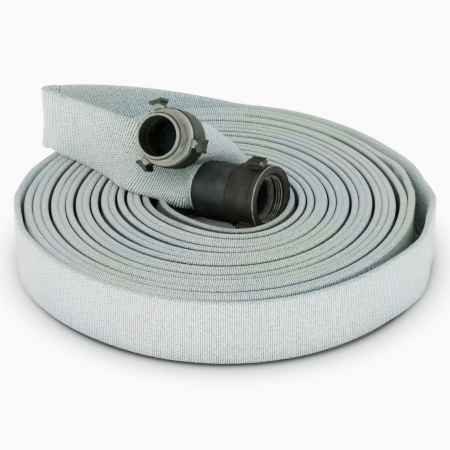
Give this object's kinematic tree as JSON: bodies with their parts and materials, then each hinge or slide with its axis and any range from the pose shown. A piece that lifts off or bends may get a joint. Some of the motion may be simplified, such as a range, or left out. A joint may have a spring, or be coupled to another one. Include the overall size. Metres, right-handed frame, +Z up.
{
  "type": "rolled fire hose",
  "caption": "A flat woven double-jacket fire hose wound on edge into a roll, its two aluminium rocker-lug couplings lying across the hole, one with a swivel.",
  "frame": {"origin": "middle of the bounding box, on the surface that the roll lies on", "axes": "+Z is up, out of the roll's flat side; +X and +Y lie in the plane of the roll, and -Y is the side towards which the couplings face"},
  "size_m": [0.4321, 0.426, 0.1718],
  "materials": {
    "woven_jacket": "matt woven polyester",
    "inner_weave": "matt woven polyester",
    "hard_coat": "dark hard-coat anodised, worn to bare metal on edges",
    "bare_aluminium": "machined",
    "rubber": "matt",
    "brass": "machined",
    "steel": "polished"
  },
  "bodies": {
    "root": {"female_bowl": "hard_coat", "female_expansion_ring": "brass", "female_inner_jacket_end": "inner_weave", "female_liner_end": "rubber", "female_tail_gasket": "rubber", "hose_inner_end": "woven_jacket", "hose_outer_end": "woven_jacket", "hose_roll": "woven_jacket", "male_coupling": "hard_coat", "male_expansion_ring": "brass", "male_inner_jacket_end": "inner_weave", "male_liner_end": "rubber", "male_tail_gasket": "rubber"},
    "female_swivel_body": {"female_swivel": "hard_coat", "swivel_gasket": "rubber", "ball_race_plug": "steel"},
    "ball_ring": {"swivel_ball_01": "steel", "swivel_ball_02": "steel", "swivel_ball_03": "steel", "swivel_ball_04": "steel", "swivel_ball_05": "steel", "swivel_ball_06": "steel", "swivel_ball_07": "steel", "swivel_ball_08": "steel", "swivel_ball_09": "steel", "swivel_ball_10": "steel", "swivel_ball_11": "steel", "swivel_ball_12": "steel", "swivel_ball_13": "steel", "swivel_ball_14": "steel", "swivel_ball_15": "steel", "swivel_ball_16": "steel", "swivel_ball_17": "steel", "swivel_ball_18": "steel", "swivel_ball_19": "steel", "swivel_ball_20": "steel", "swivel_ball_21": "steel", "swivel_ball_22": "steel", "swivel_ball_23": "steel", "swivel_ball_24": "steel"}
  },
  "joints": [
    {"name": "swivel_spin", "type": "hinge", "parent": "root", "child": "female_swivel_body", "pos_m": [0.0224, -0.01588, 0.07864], "axis": [0.8212, -0.5515, 0.1469], "continuous": true},
    {"name": "ball_ring_spin", "type": "hinge", "parent": "root", "child": "ball_ring", "pos_m": [0.0224, -0.01588, 0.07864], "axis": [0.8212, -0.5515, 0.1469], "continuous": true}
  ],
  "couplings": [
    {"joint": "ball_ring_spin", "follows": "swivel_spin", "ratio": 0.5}
  ]
}
